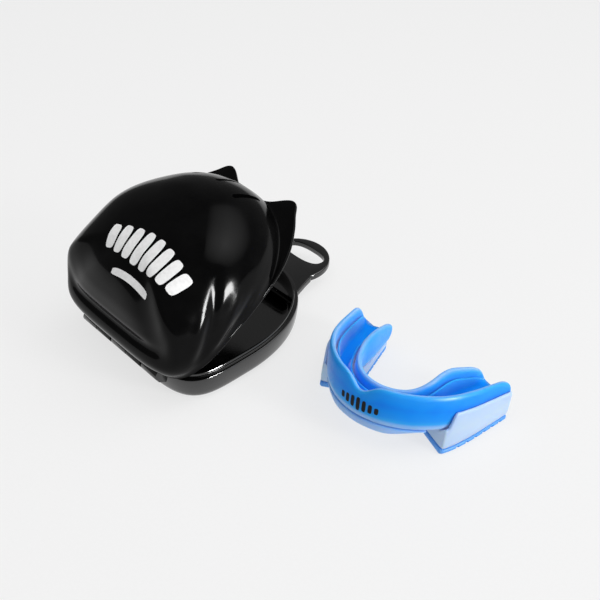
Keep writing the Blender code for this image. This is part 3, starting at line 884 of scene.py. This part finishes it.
def floor_material():
    """Pale seamless paper with a faint tooth, lit partly from within so the shadow stays light."""
    material, nodes, links = new_material("pale_paper")
    shader = nodes["Principled BSDF"]
    where = nodes.new("ShaderNodeTexCoord").outputs["Object"]
    tooth = noise(nodes, links, where, 900, 3)
    links.new(ramp(nodes, links, tooth, ((0.3, (0.195, 0.195, 0.195)), (0.7, (0.205, 0.205, 0.205)))),
              shader.inputs["Base Color"])
    shader.inputs["Roughness"].default_value = 0.9
    shader.inputs["Specular IOR Level"].default_value = 0.0
    shader.inputs["Emission Color"].default_value = (1, 1, 1, 1)
    shader.inputs["Emission Strength"].default_value = 0.70
    return material


# ---------------------------------------------------------------- stage

CAMERA_AZIMUTH = math.radians(47.1)
CAMERA_ELEVATION = math.radians(38)
CAMERA_DISTANCE = 0.3643
CAMERA_TARGET = Vector((0.0303, 0.0256, 0.015))
CAMERA_LENS, CAMERA_SENSOR = 54, 36

FLOOR_HALF_SIDE = 3.0
FLOOR_DROP = 0.05 * MM
WORLD_STRENGTH = 0.2
# Azimuth and elevation in degrees, distance and size in metres, power in watts, spread in degrees.
LIGHTS = {
    "side_strip": (98, 7, 0.9, (0.3, 0.22), 22, 180),
    "back_softbox": (150, 55, 1.2, (1.4, 1.3), 2.0, 64),
    "side_fill": (104, 20, 0.9, (0.2, 0.4), 4, 180),
    "overhead_fill": (20, 78, 1.6, (1.8, 1.8), 11.5, 180),
}


def view_direction(azimuth, elevation):
    """From the target towards a viewer at this azimuth, measured from -Y towards +X, and elevation."""
    return Vector((math.sin(azimuth) * math.cos(elevation), -math.cos(azimuth) * math.cos(elevation),
                   math.sin(elevation)))


def add_camera():
    data = bpy.data.cameras.new("view")
    data.lens = CAMERA_LENS
    data.sensor_width = CAMERA_SENSOR
    camera = bpy.data.objects.new("view", data)
    bpy.context.scene.collection.objects.link(camera)
    away = view_direction(CAMERA_AZIMUTH, CAMERA_ELEVATION)
    camera.location = CAMERA_TARGET + away * CAMERA_DISTANCE
    camera.rotation_euler = away.to_track_quat("Z", "Y").to_euler()
    bpy.context.scene.camera = camera


def add_area(name, azimuth, elevation, distance, size, power, spread):
    data = bpy.data.lights.new(name, "AREA")
    data.shape = "RECTANGLE"
    data.size, data.size_y = size
    data.energy = power
    data.spread = math.radians(spread)
    light = bpy.data.objects.new(name, data)
    bpy.context.scene.collection.objects.link(light)
    away = view_direction(math.radians(azimuth), math.radians(elevation))
    light.location = CAMERA_TARGET + away * distance
    light.rotation_euler = away.to_track_quat("Z", "Y").to_euler()
    return light


def build_stage():
    mesh = bpy.data.meshes.new("floor")
    corners = [(x * FLOOR_HALF_SIDE, y * FLOOR_HALF_SIDE, 0) for x, y in ((-1, -1), (1, -1), (1, 1), (-1, 1))]
    mesh.from_pydata(corners, [], [(0, 1, 2, 3)])
    mesh.materials.append(floor_material())
    floor = add_piece("floor", mesh)
    floor.location.z = -FLOOR_DROP
    world = bpy.data.worlds.new("studio")
    world.use_nodes = True
    background = world.node_tree.nodes["Background"]
    background.inputs["Color"].default_value = (1, 1, 1, 1)
    background.inputs["Strength"].default_value = WORLD_STRENGTH
    bpy.context.scene.world = world
    bpy.context.scene.view_settings.view_transform = "Standard"
    lights = {name: add_area(name, *settings) for name, settings in LIGHTS.items()}
    lights["side_strip"].visible_diffuse = False
    lights["side_fill"].visible_glossy = False
    lights["overhead_fill"].visible_glossy = False


# ---------------------------------------------------------------- assembly

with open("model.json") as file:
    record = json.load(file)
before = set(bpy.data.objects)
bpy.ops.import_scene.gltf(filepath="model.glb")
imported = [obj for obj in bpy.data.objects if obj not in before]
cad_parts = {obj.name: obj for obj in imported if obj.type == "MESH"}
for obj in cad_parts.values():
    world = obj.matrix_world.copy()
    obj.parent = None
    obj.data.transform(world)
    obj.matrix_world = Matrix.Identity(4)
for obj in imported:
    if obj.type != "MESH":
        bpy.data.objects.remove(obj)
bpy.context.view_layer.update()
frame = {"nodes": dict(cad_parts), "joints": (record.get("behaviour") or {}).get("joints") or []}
joints = {joint["name"]: joint for joint in frame["joints"]}
HINGE = Vector(joints["lid_hinge"]["pos_m"])
base_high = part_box("base_shell")[1]
PLAN = Plan(base_high.x, PLAN_CENTER_Y - WALL_BACK_Y, WALL_FRONT_Y - PLAN_CENTER_Y)
RIM_Z = HINGE.z + RIM_GAP

OPEN_LID = Matrix.Translation(HINGE) @ Matrix.Rotation(LID_REST_ANGLE, 4, "X") @ Matrix.Translation(-HINGE)

base = build_base(PLAN, HINGE)
base.data.materials.clear()
base.data.materials.append(gloss_black("gloss_black_base", 0.85))
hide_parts("base_shell")
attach(base, "case_base")

lid, closed_skin = build_lid(PLAN, RIM_Z, HINGE, OPEN_LID)
lid.data.materials.clear()
lid.data.materials.append(gloss_black("gloss_black_lid", 0.08))
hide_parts("lid_shell")
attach(lid, "case_lid")

PRINTS = (("lid_print", lid_mark(closed_skin, OPEN_LID), "case_lid", linear(250, 250, 250), 0.45),
          ("guard_print", guard_mark(), "guard", linear(3, 4, 8), 0.6))
for name, mesh, body, color, roughness in PRINTS:
    print_piece = add_piece(name, mesh)
    smooth_shading(mesh, 60)
    mesh.materials.append(ink(name + "_ink", color, roughness))
    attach(print_piece, body)

pin = frame["nodes"]["hinge_pin"]
pin.data.materials.clear()
pin.data.materials.append(pin_steel())

DEEP, BLUE, LIGHT = linear(0, 118, 240), linear(0, 142, 246), linear(50, 165, 246)
LAVENDER, PALE = linear(160, 196, 246), linear(188, 210, 232)
SHELL_STOPS = ((0.0, DEEP), (0.12, BLUE), (0.45, LIGHT), (0.85, LAVENDER))
GEL_STOPS = ((0.0, BLUE), (0.4, LIGHT), (0.8, linear(123, 165, 225)))
PALE_STOPS = ((0.5, LAVENDER), (0.8, linear(178, 202, 238)), (1.0, PALE))
# Bumper ramp: the pad's own blue to lavender, with the pale end also serving as painted light on its shaded,
# downward-facing front.
BUMPER_PAINTED_LIGHT_STOPS = ((0.3, LIGHT), (0.6, linear(128, 182, 244)), (0.85, LAVENDER))
SOLE_STOPS = ((0.3, linear(40, 140, 232)), (0.6, linear(105, 165, 232)))
FINISHES = {
    "guard_blue": guard_plastic("guard_blue_clear", SHELL_STOPS),
    "guard_gel": guard_plastic("guard_gel_clear", GEL_STOPS, 0.38, 0.3),
    "bumper": guard_plastic("guard_bumper_clear", BUMPER_PAINTED_LIGHT_STOPS, 0.36, 0.3),
    "guard_pale": guard_plastic("guard_pale_milky", PALE_STOPS, 0.4, 0.3),
    "sole": guard_plastic("guard_sole_clear", SOLE_STOPS, 0.36, 0.25),
}
GUARD = guard_matrix()
GUARD_PIECES = (
    ("guard_moulding", "guard_shell", shell_section, -1, 1, 120, 0.035, (1.5 * MM, 1.5 * MM), "guard_blue",
     "guard_blue"),
    ("channel_gel", "gel_liner", liner_section, -0.965, 0.965, 90, 0.015, (0.4 * MM, 0.4 * MM), "guard_gel",
     "guard_gel"),
    ("front_bumper", "front_pad", bumper_section, -0.38, 0.38, 40, 0.02, (0.9 * MM, 0.5 * MM), "bumper",
     "guard_gel"),
    ("left_pad", "left_wedge_pad", pad_section, -0.975, -0.46, 90, 0.014, (0.5 * MM, 0.7 * MM), "guard_pale",
     "guard_pale"),
    ("right_pad", "right_wedge_pad", pad_section, 0.46, 0.975, 90, 0.014, (0.5 * MM, 0.7 * MM), "guard_pale",
     "guard_pale"),
    ("left_tread", "left_sole", sole_section, -0.975, -0.455, 36, 0.016, (0.6 * MM, 0.4 * MM), "sole",
     "guard_blue"),
    ("right_tread", "right_sole", sole_section, 0.455, 0.975, 36, 0.016, (0.6 * MM, 0.4 * MM), "sole",
     "guard_blue"),
)
for name, cad_node, section, start, end, count, rounding, squeeze, finish, slot in GUARD_PIECES:
    piece = add_piece(name, sweep(name, section, start, end, count, rounding, squeeze))
    if name.endswith("tread"):
        side = -1 if name.startswith("left") else 1
        combine(piece, [(groove_cutter(side, index), "DIFFERENCE") for index in range(GROOVE_COUNT)])
    else:
        modifier = piece.modifiers.new("round", "SUBSURF")
        modifier.levels = modifier.render_levels = 1
    piece.data.transform(GUARD)
    smooth_shading(piece.data, 50)
    piece.data.materials.clear()
    piece.data.materials.append(FINISHES[finish])
    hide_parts(cad_node)
    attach(piece, "guard")
    piece.visible_glossy = False

build_stage()
add_camera()
